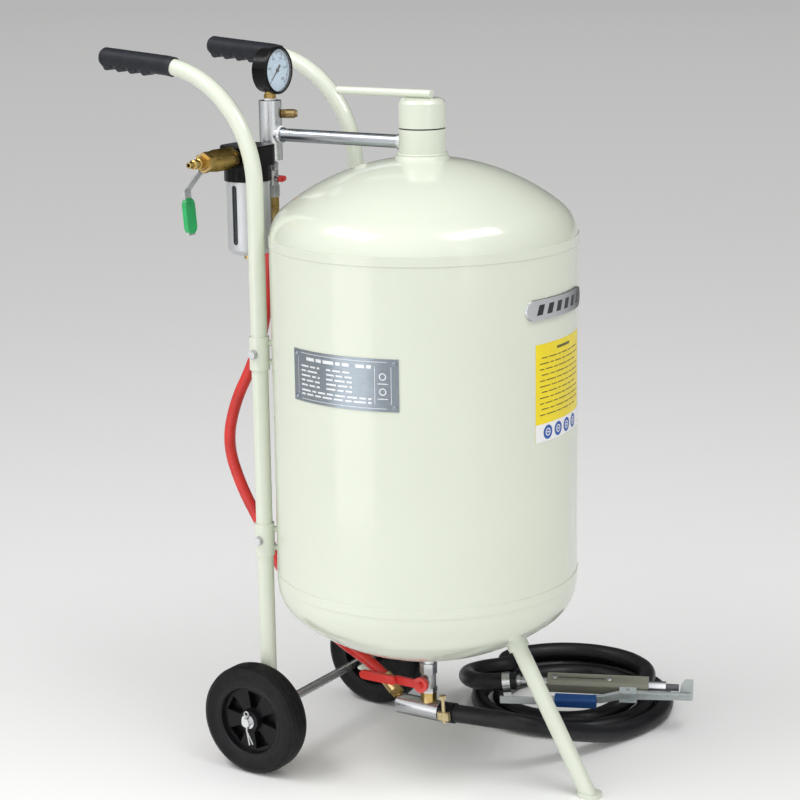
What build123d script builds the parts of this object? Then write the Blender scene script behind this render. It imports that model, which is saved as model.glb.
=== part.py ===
"""Portable pressure-pot abrasive blaster: a painted steel pot on two wheels and a front leg.

Millimetres, +Z up, floor at z = 0. Inside this script the tank's axis is x = y = 0, the leg and
the gauge face look towards -Y, the hand grips and wheels are at +Y. save() moves every piece by
stand_shift so that the object stands over the origin.
"""
from build123d import *
from math import asin, cos, hypot, pi, radians, sin, sqrt, tan
import os

# ---------------------------------------------------------------- driving dimensions
tank_r = 200.0            # outside radius of the pressure pot
wall = 3.0                # steel wall of shell and heads
seam_low = 280.0          # bottom head joins the shell here
seam_high = 715.0         # top head joins the shell here
seam_band = 12.0          # height of the raised weld band on each head's skirt
band_proud = 0.8
head_skirt_low = 16.0     # straight flange under the low seam
head_skirt_high = 4.0
crown_r = 290.0           # dishing radius of both heads
knuckle_r = 56.0

neck_r = 30.15            # 60.3 mm pipe
neck_bore_r = 26.0
neck_top = 860.5
seal_thick = 1.8
cap_height = 37.0
cap_rod_r = 5.5
cap_rod_front = 14.5      # rod end in front of the axis
cap_rod_rear = 128.0      # rod end behind the axis

tube_r = 11.0             # 22 mm handle and leg tube
tube_bore_r = 9.2
handle_x = 118.0
handle_y = 181.0
handle_foot_z = 60.0
handle_bend_z = 788.0
handle_bend_r = 152.0
handle_bend_deg = 85.5
handle_straight = 97.0
grip_r = 13.0
grip_bend_deg = 6.0       # part of the bend that the grip also covers
sleeve_r = 13.2
sleeve_high = 44.0
sleeve_z = (571.0, 318.0)
stud_r = 4.0
stud_pitch = 25.5

leg_top_y = -138.0
leg_top_z = 190.0
leg_foot_y = -245.0

wheel_r = 75.0
wheel_width = 36.0
wheel_x = 151.0
wheel_y = 181.0
axle_r = 6.0
axle_half = 175.0
hub_r = 52.0
hub_wall = 2.5
running_gap = 0.06        # radial clearance of every running fit
glue_gap = 0.02           # between pieces that are bonded or screwed together

manifold_y = 238.0
manifold_r = 15.0
manifold_bore_r = 11.5
manifold_z = (808.0, 887.0)
feed_z = 842.0
relief_z = 869.0
feed_r = 8.6              # 3/8 pipe, 17.2 mm
feed_bore_r = 6.3
port_z = 820.0            # inlet line of the filter and the inlet valve

gauge_z = 927.0
gauge_r = 29.6
gauge_bezel_r = 31.6
gauge_dial_r = 27.9
gauge_front_y = 222.0
gauge_back_y = 245.0

filter_x = -54.0
filter_half = 31.0        # half width of the filter head
filter_corner_r = 18.0
filter_top = 834.0
filter_split = 807.0
filter_collar = 787.0
bowl_guard_r = 29.2
bowl_guard_low = 690.0

inlet_stem_x = -130.0
inlet_body_end_x = -150.0
inlet_tip_x = -181.0
plug_r = 4.0
strap_width = 14.0        # flat bar of the inlet lever
knee = (47.0, 36.0)       # where the bar turns down: distance out along the stem, distance below it
inlet_tilt_deg = 5.0     # the inlet lever's stem points rearwards and this much down

outlet_r = 9.0            # nipple under the pot
outlet_body_r = 10.2
outlet_valve_z = 113.0    # axis height of the metering valve's stem
mixing_z = 72.5
mixing_r = 14.0
mixing_rear_y = 50.0
mixing_front_y = -20.0
air_entry_deg = 45.0      # rise of the air line's last fitting, towards +Y

air_hose_r = 8.0
blast_hose_r = 12.3
blast_bore_r = 6.5

coil_x = 270.0            # centre of the coil on the floor
coil_y = -70.0
coil_outer = 158.0
coil_inner = 96.0
coil_high = 37.0

# centre lines of the two free ends of the blast hose
blast_lead = [(0, -21, 72.5), (0, -72, 76), (20, -126, 71), (60, -158, 53), (116, -178, 32),
              (174, -192, 14.5)]
blast_tail = [(300, 36, 28), (262, 64, 31), (218, 70, 38), (177, 42, 49), (155, -1, 59)]

gun_tail = (173.0, -40.0, 64.0)      # where the hose ends on the gun's stem
gun_heading_deg = 23.0               # from -Y towards +X
gun_roll_deg = 25.0                  # lever side leans down
body_rear = 44.0                     # along the gun from the hose's end
body_front = 186.0
nozzle_tip = 228.0
plate_x = 244.0           # lever's end plate in front of the nozzle
lever_pivot_x = 158.0
lever_pivot_y = 17.0
lever_half = 6.5          # half width of the lever's web
ear_gap = 6.9             # from the middle to each of the body's two ears
ear_thick = 2.6
pivot_pin_r = 2.5
barb_length = 22.0        # of the gun's stem inside the hose
lever_rear = -20.0

stand_shift = -84.0       # puts the middle of the stand's length over the origin

os.makedirs("parts", exist_ok=True)


# ---------------------------------------------------------------- helpers
def plane(origin, direction):
    return Plane(origin=origin, z_dir=direction)


def rod(start, end, radius):
    """Round bar from start to end."""
    axis = Vector(*end) - Vector(*start)
    return plane(start, axis) * Cylinder(radius, axis.length, align=(Align.CENTER, Align.CENTER, Align.MIN))


def pipe(start, end, outer, inner):
    return rod(start, end, outer) - rod(start, end, inner)


def hex_bar(start, end, across, x_dir=None):
    """Hexagon bar, across flats."""
    axis = Vector(*end) - Vector(*start)
    base = Plane(origin=start, z_dir=axis, x_dir=x_dir) if x_dir else plane(start, axis)
    return extrude(base * RegularPolygon(across / 2, 6, major_radius=False), axis.length)


def lathe(profile, origin=(0, 0, 0), direction=(0, 0, 1)):
    """Solid of revolution from (radius, height) points about direction through origin."""
    face = make_face(Plane.XZ * Polyline(*[(r, z) for r, z in profile], close=True))
    return plane(origin, direction) * revolve(face, Axis.Z)


def box_between(low, high):
    size = [b - a for a, b in zip(low, high)]
    return Pos(*low) * Box(*size, align=(Align.MIN, Align.MIN, Align.MIN))


def cylinder_patch(radius, thick, angle_from, angle_to, z_low, z_high):
    """Thin plate wrapped on the tank; angles are from -Y towards +X, in degrees."""
    face = make_face(Plane.XZ * Polyline((radius, z_low), (radius + thick, z_low),
                                         (radius + thick, z_high), (radius, z_high), close=True))
    return Rot(0, 0, angle_from - 90) * revolve(face, Axis.Z, angle_to - angle_from)


pieces = {}
fixings = []          # bolts, washers and cotter pins
brass = []            # fittings of the air line and the outlet
nipples = []          # threaded steel pipe nipples


def add(name, *shapes):
    pieces[name] = shapes[0] if len(shapes) == 1 else Compound(children=list(shapes))


# ---------------------------------------------------------------- pressure pot
def head_solid(z_seam, skirt, sign, inset):
    """Dished head filled solid, its surface moved inwards by inset."""
    r, k, c = tank_r - inset, knuckle_r - inset, crown_r - inset
    z0 = skirt
    drop = sqrt((crown_r - knuckle_r) ** 2 - (tank_r - knuckle_r) ** 2)
    zc = z0 - drop
    turn = asin((tank_r - knuckle_r) / (crown_r - knuckle_r))
    touch = (c * sin(turn), zc + c * cos(turn))
    half = (turn + pi / 2) / 2
    mid = (tank_r - knuckle_r + k * sin(half), z0 + k * cos(half))
    crown_mid = (c * sin(turn / 2), zc + c * cos(turn / 2))
    edges = [Line((0, 0), (r, 0)), Line((r, 0), (r, z0)),
             ThreePointArc((r, z0), mid, touch),
             ThreePointArc(touch, crown_mid, (0, zc + c)),
             Line((0, zc + c), (0, 0))]
    face = make_face([Plane.XZ * e for e in edges])
    body = revolve(face, Axis.Z)
    if sign < 0:
        body = mirror(body, Plane.XY)
    return Pos(0, 0, z_seam) * body


head_height = crown_r - sqrt((crown_r - knuckle_r) ** 2 - (tank_r - knuckle_r) ** 2)
top_z = seam_high + head_skirt_high + head_height
bottom_z = seam_low - head_skirt_low - head_height
top_outer = head_solid(seam_high, head_skirt_high, 1, 0)
top_inner = head_solid(seam_high, head_skirt_high, 1, wall)
low_outer = head_solid(seam_low, head_skirt_low, -1, 0)
low_inner = head_solid(seam_low, head_skirt_low, -1, wall)


def seam_ring(z_low):
    return pipe((0, 0, z_low), (0, 0, z_low + seam_band), tank_r + band_proud, tank_r - wall)


def make_tank():
    shell = pipe((0, 0, seam_low), (0, 0, seam_high), tank_r, tank_r - wall)
    neck_weld = lathe([(neck_r, top_z - 5), (neck_r + 7, top_z - 5), (neck_r + 5, top_z - 0.5),
                       (neck_r + 2.5, top_z + 2.5), (neck_r, top_z + 4)])
    top = top_outer - top_inner + seam_ring(seam_high) + (neck_weld - top_inner)
    top -= rod((0, 0, top_z - 40), (0, 0, top_z + 20), neck_r)
    low = low_outer - low_inner + seam_ring(seam_low - seam_band)
    low -= rod((0, 0, bottom_z - 20), (0, 0, bottom_z + 20), outlet_r)
    neck = pipe((0, 0, top_z - 18), (0, 0, neck_top), neck_r, neck_bore_r)
    neck -= rod((0, 20, feed_z), (0, 40, feed_z), feed_r)
    add("tank_shell", shell)
    add("top_head", top)
    add("bottom_head", low)
    add("fill_neck", neck)


# ---------------------------------------------------------------- fill cap
def make_cap():
    low = neck_top + seal_thick
    high = low + cap_height
    body = lathe([(0, low - 26), (neck_bore_r - 1.5, low - 26), (neck_bore_r - 0.5, low - 24),
                  (neck_bore_r - 0.5, low), (neck_r, low), (neck_r, high - 6), (neck_r - 2, high - 2),
                  (neck_r - 6, high), (0, high)])
    body -= rod((0, 0, low - 27), (0, 0, high - 8), neck_bore_r - 7)
    z_rod = high + cap_rod_r - 0.4
    body += rod((0, -cap_rod_front, z_rod), (0, cap_rod_rear, z_rod), cap_rod_r)
    seal = pipe((0, 0, neck_top), (0, 0, low), neck_r - 0.8, neck_bore_r + 0.4)
    add("fill_cap", body)
    add("cap_seal", seal)


# ---------------------------------------------------------------- handles, grips, sleeves, leg
def handle_path(side, bend_from=0.0, straight=handle_straight):
    """Centre line of one handle from an angle within the bend to the tube's end."""
    x = side * handle_x
    yc, zc = handle_y + handle_bend_r, handle_bend_z

    def on_bend(angle):
        a = radians(angle)
        return (x, yc - handle_bend_r * cos(a), zc + handle_bend_r * sin(a))

    end = on_bend(handle_bend_deg)
    a = radians(90 - handle_bend_deg)
    tip = (x, end[1] + straight * cos(a), end[2] + straight * sin(a))
    arc = ThreePointArc(on_bend(bend_from), on_bend((bend_from + handle_bend_deg) / 2), end)
    edges = [arc, Line(end, tip)]
    if bend_from == 0.0:
        edges.insert(0, Line((x, handle_y, handle_foot_z), on_bend(0)))
    return edges, tip, a


def swept(edges, radius):
    wire = Wire(edges)
    start = wire @ 0
    section = Plane(origin=start, z_dir=wire % 0) * Circle(radius)
    return sweep(section, path=wire)


def make_handles():
    grips = []
    for side in (-1, 1):
        edges, tip, a = handle_path(side)
        outer, inner = swept(edges, tube_r), swept(edges, tube_bore_r)
        tube = outer - inner
        tube -= rod((side * 90, wheel_y, wheel_r), (side * 140, wheel_y, wheel_r), axle_r)
        for z in sleeve_z:
            tube -= rod((side * handle_x, handle_y, z), (side * 140, handle_y, z), 3.0)
        add(("left" if side < 0 else "right") + "_handle_tube", tube)
        grip_edges, grip_tip, a = handle_path(side, handle_bend_deg - grip_bend_deg)
        grip = swept(grip_edges, grip_r)
        along = Vector(0, cos(a), sin(a))
        down = Vector(0, sin(a), -cos(a))
        end = Vector(*grip_tip)
        grip += lathe([(0, 0), (grip_r, 0), (grip_r, 1), (grip_r - 2.2, 4.6), (grip_r - 6, 6), (0, 6)],
                      grip_tip, along)
        for step in range(4):
            centre = end - along * (8 + 21 * step) + down * (grip_r - 3.5)
            grip += rod((centre - Vector(9, 0, 0)), (centre + Vector(9, 0, 0)), 6.5)
        grip -= swept(grip_edges, tube_r + glue_gap)
        grips.append(grip)
    add("hand_grips", *grips)

    sleeves, bolts = [], []
    tank = rod((0, 0, 200), (0, 0, 800), tank_r)
    for side in (-1, 1):
        x = side * handle_x
        reach = hypot(handle_x, handle_y)
        inward = Vector(-x / reach, -handle_y / reach, 0)
        for z in sleeve_z:
            low, high = z - sleeve_high / 2, z + sleeve_high / 2
            sleeve = pipe((x, handle_y, low), (x, handle_y, high), sleeve_r, tube_r)
            for dz in (-stud_pitch / 2, stud_pitch / 2):
                root = Vector(x, handle_y, z + dz)
                stud = rod((root + inward * (tube_r + 1)), (root + inward * 22), stud_r)
                sleeve += stud - tank
            sleeve -= rod((side * 120, handle_y, z), (side * 140, handle_y, z), 3.0)
            sleeves.append(sleeve)
            face = side * (handle_x + sleeve_r)
            bolt = hex_bar((face, handle_y, z), (face + side * 5.5, handle_y, z), 10.0)
            bolt += rod((face, handle_y, z), (face + side * 1.2, handle_y, z), 6.2)
            bolt -= pipe((x, handle_y, z - 10), (x, handle_y, z + 10), sleeve_r, 12.4)
            bolt += rod((face - side * 8, handle_y, z), (face, handle_y, z), 3.0)
            bolts.append(bolt)
    add("tube_sleeves", *sleeves)
    fixings.extend(bolts)


def make_leg():
    top = Vector(0, leg_top_y, leg_top_z)
    foot = Vector(0, leg_foot_y, 0)
    line = (foot - top).normalized()
    above = top - line * 20
    below = foot + line * 20
    leg = pipe(above, below, tube_r, tube_bore_r)
    foot_pad = Pos(0, leg_foot_y - 1, 0) * Box(27, 31, 5, align=(Align.CENTER, Align.CENTER, Align.MIN))
    foot_pad = fillet(foot_pad.edges().filter_by(Axis.Z), 11)
    leg = leg - low_outer - box_between((-60, -400, -60), (60, 0, 0))
    collar = pipe(above, (top + line * 7), tube_r + 3.5, tube_r) - low_outer
    leg += collar
    leg += foot_pad
    add("front_leg", leg)


# ---------------------------------------------------------------- wheels and axle
def make_wheels():
    for side, name in ((-1, "left"), (1, "right")):
        inner = wheel_x - wheel_width / 2
        outer = wheel_x + wheel_width / 2
        origin, out = (0, wheel_y, wheel_r), (side, 0, 0)
        tyre = lathe([(hub_r, inner + 3), (wheel_r - 7, inner), (wheel_r - 2, inner + 3),
                      (wheel_r, inner + 9), (wheel_r, outer - 9), (wheel_r - 2, outer - 3),
                      (wheel_r - 7, outer), (hub_r, outer - 3)], origin, out)
        for step in range(5):
            at = inner + 10.5 + step * 3.75
            tyre -= lathe([(wheel_r - 0.9, at - 0.5), (wheel_r + 1, at - 0.5),
                           (wheel_r + 1, at + 0.5), (wheel_r - 0.9, at + 0.5)], origin, out)
        web_in, web_out = wheel_x - 4, wheel_x + 9
        hub = lathe([(axle_r + running_gap, inner - 0.4), (14, inner - 0.4), (15, web_in), (44, web_in),
                     (46, inner + 2.5), (hub_r, inner + 3), (hub_r, outer - 3), (49, outer - 1.6),
                     (46, outer - 3), (44, web_out), (16, web_out), (14.5, outer - 1.6),
                     (axle_r + running_gap, outer - 1.6)], origin, out)
        for k in range(5):
            middle = radians(80 + 72 * k)
            corners = []
            for r, spread in ((17, -13), (41, -17), (41, 17), (17, 13)):
                angle = middle + radians(spread)
                across, up = wheel_y - r * cos(angle), wheel_r + r * sin(angle)
                corners.append((side * (web_in + hub_wall), across, up))
            hub -= extrude(make_face(Polyline(*corners, close=True)), amount=30, dir=(side, 0, 0))
        add(name + "_tyre", tyre)
        add(name + "_hub", hub)
    add("axle", rod((-axle_half, wheel_y, wheel_r), (axle_half, wheel_y, wheel_r), axle_r))
    washers, pins = [], []
    for side in (-1, 1):
        tube_face = handle_x + tube_r
        hub_in = wheel_x - wheel_width / 2 - 0.4
        hub_out = wheel_x + wheel_width / 2 - 1.6
        for a, b in ((tube_face, hub_in - 0.4), (hub_out + 0.4, hub_out + 2.0)):
            washers.append(pipe((side * a, wheel_y, wheel_r), (side * b, wheel_y, wheel_r), 10.0, axle_r))
        x = side * 171.5
        eye = Pos(x, wheel_y, wheel_r + 11.5) * Rot(0, 90, 0) * Torus(3.4, 1.3)
        shank = rod((x, wheel_y, wheel_r + 9), (x, wheel_y, wheel_r - 13), 1.5)
        leg_a = rod((x, wheel_y, wheel_r - 12.5), (x - side * 0.5, wheel_y - 9, wheel_r - 30), 1.3)
        leg_b = rod((x, wheel_y, wheel_r - 12.5), (x + side * 1.5, wheel_y - 5, wheel_r - 31), 1.3)
        pins.append(eye + shank + leg_a + leg_b)
    pieces["axle"] = pieces["axle"] - pins[0] - pins[1]
    fixings.extend(washers + pins)


# ---------------------------------------------------------------- plates on the shell
def make_plates():
    plate = cylinder_patch(tank_r + glue_gap, 1.0, -112.8, -67.4, 535, 601)
    rivets = []
    for angle in (-111.2, -69.0):
        for z in (540.5, 595.5):
            a = radians(angle)
            out = (sin(a), -cos(a), 0)
            start = tuple((tank_r + 1.04) * c for c in out[:2]) + (z,)
            rivets.append(lathe([(0, 0), (3.4, 0), (3.0, 1.0), (1.6, 1.7), (0, 1.9)], start, out))
    add("data_plate", plate, *rivets)
    add("caution_label", cylinder_patch(tank_r, 0.35, -14.8, 19.9, 479.5, 605.5))
    ring = cylinder_patch(tank_r, 3.5, -23, 23, 636, 664)
    slot = Plane(origin=(0, -150, 650), x_dir=(1, 0, 0), z_dir=(0, -1, 0)) * SlotOverall(138, 26)
    add("badge", ring & extrude(slot, 80))


# ---------------------------------------------------------------- air line at the manifold
def make_manifold():
    low, high = manifold_z
    tube = rod((0, manifold_y, low), (0, manifold_y, high), manifold_r)
    tube -= rod((0, manifold_y, low + 6), (0, manifold_y, high - 6), manifold_bore_r)
    tube -= rod((0, manifold_y, high - 7), (0, manifold_y, high + 1), 6.5)
    tube -= rod((0, manifold_y, low - 1), (0, manifold_y, low + 7), 6.5)
    tube -= rod((0, manifold_y - 30, feed_z), (0, manifold_y, feed_z), feed_r)
    tube -= rod((-30, manifold_y, port_z), (0, manifold_y, port_z), 8.0)
    a = radians(30)
    relief_dir = Vector(sin(a), -cos(a), 0)
    centre = Vector(0, manifold_y, relief_z)
    tube -= rod(centre, (centre + relief_dir * 30), 4.5)
    add("manifold", tube)

    feed_end = manifold_y - manifold_bore_r
    feed = pipe((0, neck_bore_r + 1.0, feed_z), (0, feed_end, feed_z), feed_r, feed_bore_r)
    weld = pipe((0, 28, feed_z), (0, neck_r + 5, feed_z), feed_r + 1.8, feed_r) \
        - rod((0, 0, 800), (0, 0, 870), neck_r)
    ring = pipe((0, manifold_y - manifold_r - 5, feed_z), (0, manifold_y - 8, feed_z), feed_r + 2.0, feed_r) \
        - rod((0, manifold_y, 800), (0, manifold_y, 880), manifold_r)
    feed += weld + ring
    feed -= rod((0, 0, 800), (0, 0, 870), neck_bore_r)
    add("feed_pipe", feed)

    base = centre + relief_dir * (manifold_bore_r + 0.5)

    def at(t):
        return (centre + relief_dir * t)

    relief = rod(base, at(manifold_r + 8), 4.5)
    relief += hex_bar(at(manifold_r + 0.4), at(manifold_r + 7), 11) + rod(at(manifold_r + 6.5), at(33), 6.0)
    relief -= rod(at(20), at(34), 2.3)
    relief -= rod(base, at(21), 1.2)
    add("relief_valve", relief)
    add("relief_stem", rod(at(20.4), at(34), 2.2) + rod(at(33.6), at(36), 4.6))

    stem_low, stem_high = high - 6, gauge_z - gauge_r + 1.0
    case_y = (gauge_front_y, gauge_back_y)
    drum = rod((0, case_y[0], gauge_z), (0, case_y[1], gauge_z), gauge_r)
    bezel = lathe([(0, 0), (gauge_bezel_r, 0), (gauge_bezel_r, 4.5), (gauge_bezel_r - 1.5, 6), (0, 6)],
                  (0, case_y[0] + 5, gauge_z), (0, -1, 0))
    case = drum + bezel
    case -= rod((0, case_y[0] + 4, gauge_z), (0, case_y[0] - 5, gauge_z), gauge_dial_r + 0.1)
    case -= rod((0, case_y[0], gauge_z), (0, case_y[1] - 2, gauge_z), gauge_r - 3.5)
    case -= rod((0, manifold_y, stem_low), (0, manifold_y, stem_high), 6.5)
    stem = rod((0, manifold_y, stem_low), (0, manifold_y, stem_high), 6.5) \
        + hex_bar((0, manifold_y, high + 2.5), (0, manifold_y, high + 8), 14)
    stem -= rod((0, manifold_y, stem_low - 1), (0, manifold_y, stem_high - 3), 2.5)
    dial_y = case_y[0] + 4
    dial = rod((0, dial_y, gauge_z), (0, dial_y - 0.8, gauge_z), gauge_dial_r)
    dial -= rod((0, dial_y + 1, gauge_z), (0, dial_y - 2, gauge_z), 1.26)
    window = rod((0, case_y[0] - 0.6, gauge_z), (0, case_y[0] + 0.6, gauge_z), gauge_dial_r + 0.1)
    a = radians(225)
    tip = (22 * cos(a), 22 * sin(a))
    tail = (-9 * cos(a), -9 * sin(a))
    side = (1.1 * sin(a), -1.1 * cos(a))
    outline = Polyline((tip[0], dial_y - 1.3, gauge_z + tip[1]),
                       (side[0], dial_y - 1.3, gauge_z + side[1]),
                       (tail[0] + 1.6 * side[0], dial_y - 1.3, gauge_z + tail[1] + 1.6 * side[1]),
                       (tail[0] - 1.6 * side[0], dial_y - 1.3, gauge_z + tail[1] - 1.6 * side[1]),
                       (-side[0], dial_y - 1.3, gauge_z - side[1]), close=True)
    needle = extrude(make_face(outline), amount=0.5, dir=(0, -1, 0))
    needle += rod((0, dial_y - 1.1, gauge_z), (0, dial_y - 2.4, gauge_z), 2.6)
    needle += rod((0, dial_y + 2, gauge_z), (0, dial_y - 1.2, gauge_z), 1.2)
    brass.append(stem)
    add("gauge_case", case)
    add("gauge_dial", dial)
    add("gauge_window", window)
    add("gauge_needle", needle)


def make_bleed_valve():
    low = manifold_z[0]
    y = manifold_y
    body = rod((0, y, low - 6), (0, y, low + 6), 6.5)
    body += hex_bar((0, y, low - 16), (0, y, low - 4), 15)
    body += rod((0, y, low - 36), (0, y, low - 14), 8.5)
    body += hex_bar((0, y, low - 50), (0, y, low - 34), 17)
    stem_z = low - 25
    body += rod((0, y, stem_z), (0, y - 13.5, stem_z), 4.5)
    body -= rod((0, y, low - 51), (0, y, low - 37), 5.0)
    body -= rod((0, y, low - 37), (0, y, low + 7), 3.0)
    body -= Pos(0, y, stem_z) * Sphere(5.4)
    body -= rod((0, y, stem_z), (0, y - 15, stem_z), 1.56)
    lever = rod((0, y - 4.5, stem_z), (0, y - 19, stem_z), 1.5)
    lever += Pos(0, y, stem_z) * Sphere(5.2)
    lever -= rod((0, y, stem_z - 7), (0, y, stem_z + 7), 2.6)
    wing = Pos(0, y - 16.0, stem_z) * Box(17, 3, 7)
    wing = fillet(wing.edges().filter_by(Axis.Y), 3)
    lever += wing + rod((0, y - 14.2, stem_z), (0, y - 17.5, stem_z), 4.5)
    add("bleed_valve", body)
    add("bleed_lever", lever)
    top = low - 50
    fitting = hex_bar((0, y, top - 22), (0, y, top - 0.2), 15) + rod((0, y, top - 1), (0, y, top + 11), 5.0)
    fitting += rod((0, y, top - 44), (0, y, top - 21), 4.2)
    fitting += pipe((0, y, top - 46), (0, y, top - 22), air_hose_r + 1.6, air_hose_r)
    fitting += pipe((0, y, top - 24), (0, y, top - 22), air_hose_r + 1.6, 3)
    fitting -= rod((0, y, top - 50), (0, y, top + 12), 2.5)
    brass.append(fitting)
    return top - 24


# ---------------------------------------------------------------- filter
def make_filter():
    x, y = filter_x, manifold_y
    base = Plane(origin=(x, y, filter_split), z_dir=(0, 0, 1))
    outline = base * RectangleRounded(2 * filter_half, 2 * filter_half, filter_corner_r)
    head = extrude(outline, filter_top - filter_split)
    head = fillet(head.edges().group_by(Axis.Z)[-1], 2.5)
    collar = rod((x, y, filter_collar), (x, y, filter_split), filter_half + 0.6)
    for k in range(12):
        a = radians(30 * k + 15)
        groove_x = x + (filter_half + 1.8) * cos(a)
        groove_y = y + (filter_half + 1.8) * sin(a)
        collar -= rod((groove_x, groove_y, filter_collar - 1), (groove_x, groove_y, filter_split - 4), 2.2)
    collar -= rod((x, y, filter_collar - 1), (x, y, filter_split - 4), bowl_guard_r + 0.02)
    head += collar
    head += rod((x - filter_half - 2.5, y, port_z), (x, y, port_z), 12.5)
    head += rod((x + filter_half + 2.0, y, port_z), (x, y, port_z), 12.5)
    head -= rod((x - filter_half - 3, y, port_z), (x - 12, y, port_z), 8.0)
    head -= rod((x + 12, y, port_z), (x + filter_half + 3, y, port_z), 8.0)
    head -= rod((x, y, filter_split - 5), (x, y, filter_split + 6), 17.0)
    add("filter_head", head)

    nipple = pipe((x + 12.5, y, port_z), (-manifold_bore_r + 1, y, port_z), 8.0, 5.5)
    nipples.append(nipple)

    r = bowl_guard_r
    guard = lathe([(r - 1.5, filter_split - 4.2), (r, filter_split - 4.2), (r, bowl_guard_low + 6),
                   (r - 3, bowl_guard_low + 1), (r - 8, bowl_guard_low - 1), (9, bowl_guard_low - 1),
                   (9, bowl_guard_low + 1), (r - 8.6, bowl_guard_low + 1), (r - 4, bowl_guard_low + 2.6),
                   (r - 1.5, bowl_guard_low + 6.6)], (x, y, 0))
    for k in range(6):
        a = radians(60 * k + 56)
        slot = Plane(origin=(x, y, 743), x_dir=(0, 0, 1), z_dir=(cos(a), sin(a), 0)) * SlotOverall(79, 8)
        guard -= extrude(slot, r + 5)
    add("bowl_guard", guard)
    b = r - 2.0
    bowl = lathe([(b - 2.2, filter_split - 4.2), (b, filter_split - 4.2), (b, bowl_guard_low + 9),
                  (b - 3, bowl_guard_low + 4), (b - 8, bowl_guard_low + 1.4), (6.06, bowl_guard_low + 1.4),
                  (6.06, bowl_guard_low + 3.6), (b - 8.8, bowl_guard_low + 3.6),
                  (b - 4.6, bowl_guard_low + 5.8), (b - 2.2, bowl_guard_low + 9.6)], (x, y, 0))
    add("filter_bowl", bowl)
    element = pipe((x, y, filter_split - 50), (x, y, filter_split + 3), 14.0, 9.0)
    element += rod((x, y, filter_split - 54), (x, y, filter_split - 50), 16)
    add("filter_element", element)
    drain = rod((x, y, bowl_guard_low - 6), (x, y, bowl_guard_low + 9), 6.0)
    drain += rod((x, y, bowl_guard_low - 8), (x, y, bowl_guard_low - 1.4), 8.0)
    drain += rod((x, y, bowl_guard_low - 17), (x, y, bowl_guard_low - 6), 3.4)
    drain -= rod((x, y, bowl_guard_low - 18), (x, y, bowl_guard_low + 10), 1.6)
    add("bowl_drain", drain)


# ---------------------------------------------------------------- inlet valve with its lever
def make_inlet():
    y, z = manifold_y, port_z
    root = filter_x - filter_half - 2.5
    sx, end = inlet_stem_x, inlet_body_end_x
    body = rod((root + 14, y, z), (root, y, z), 8.0)
    body += hex_bar((root - 0.2, y, z), (root - 8, y, z), 24)
    body += lathe([(0, 0), (12, 0), (14.5, 5), (14.5, -12 - (sx - root)), (11.5, -8 - (end - root)),
                   (0, -8 - (end - root))], (root - 7, y, z), (-1, 0, 0))
    body += hex_bar((end + 9, y, z), (end, y, z), 24)
    tilt = radians(inlet_tilt_deg)
    stem_dir = Vector(0, cos(tilt), -sin(tilt))
    down = Vector(0, -sin(tilt), -cos(tilt))
    centre = Vector(sx, y, z)

    def at(out, along=0.0):
        return centre + stem_dir * out + down * along

    body += rod(at(8), at(19), 7.5)
    body -= rod((root + 15, y, z), (end - 1, y, z), 6.5)
    body -= Pos(*centre) * Sphere(10.6)
    body -= rod(at(5), at(20), 3.06)
    add("inlet_valve", body)

    ball = Pos(*centre) * Sphere(10.3)
    ball -= rod(at(0, -12), at(0, 12), 5.5)
    ball += rod(at(8), at(23.5), 3.0)
    add("inlet_ball", ball)

    def strap(start, finish):
        """Flat bar between two (out, along) places."""
        run = at(*finish) - at(*start)
        face = run.cross(Vector(1, 0, 0)).normalized()
        middle = Plane(origin=(at(*start) + at(*finish)) * 0.5, x_dir=run.normalized(), z_dir=face)
        return middle * Box(run.length + 2.4, strap_width, 2.5)

    lever = plane(at(19.6), stem_dir) * Cylinder(9, 2.5, align=(Align.CENTER, Align.CENTER, Align.MIN))
    lever += strap((20.85, 0), (20.85, 12)) + strap((20.85, 12), knee) + strap(knee, (knee[0], 94))
    lever -= rod(at(18), at(24), 3.0)
    lever += hex_bar(at(22.1), at(25.5), 10) - rod(at(18), at(23.5), 3.0)
    sleeve_plane = Plane(origin=at(knee[0], 70), x_dir=down, z_dir=stem_dir)
    sleeve = extrude(sleeve_plane * RectangleRounded(47, 21, 9.5), 3.6, both=True)
    sleeve = fillet(sleeve.edges().filter_by(GeomType.LINE).filter_by(lambda e: e.length > 20), 1.5)
    sleeve -= strap(knee, (knee[0], 94))
    add("inlet_lever", lever)
    add("inlet_lever_sleeve", sleeve)

    plug = hex_bar((end - 0.2, y, z), (end - 6, y, z), 17) + rod((end + 7, y, z), (end, y, z), 6.5)
    length = end - 5.5 - inlet_tip_x
    plug += lathe([(0, 0), (6.5, 0), (6.5, 5), (5.2, 6), (5.2, 10), (6.2, 11), (6.2, length - 10),
                   (plug_r, length - 8), (plug_r, length - 0.6), (plug_r - 0.6, length), (0, length)],
                  (end - 5.5, y, z), (-1, 0, 0))
    plug -= rod((end + 8, y, z), (inlet_tip_x - 1, y, z), 2.5)
    add("inlet_plug", plug)


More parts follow.
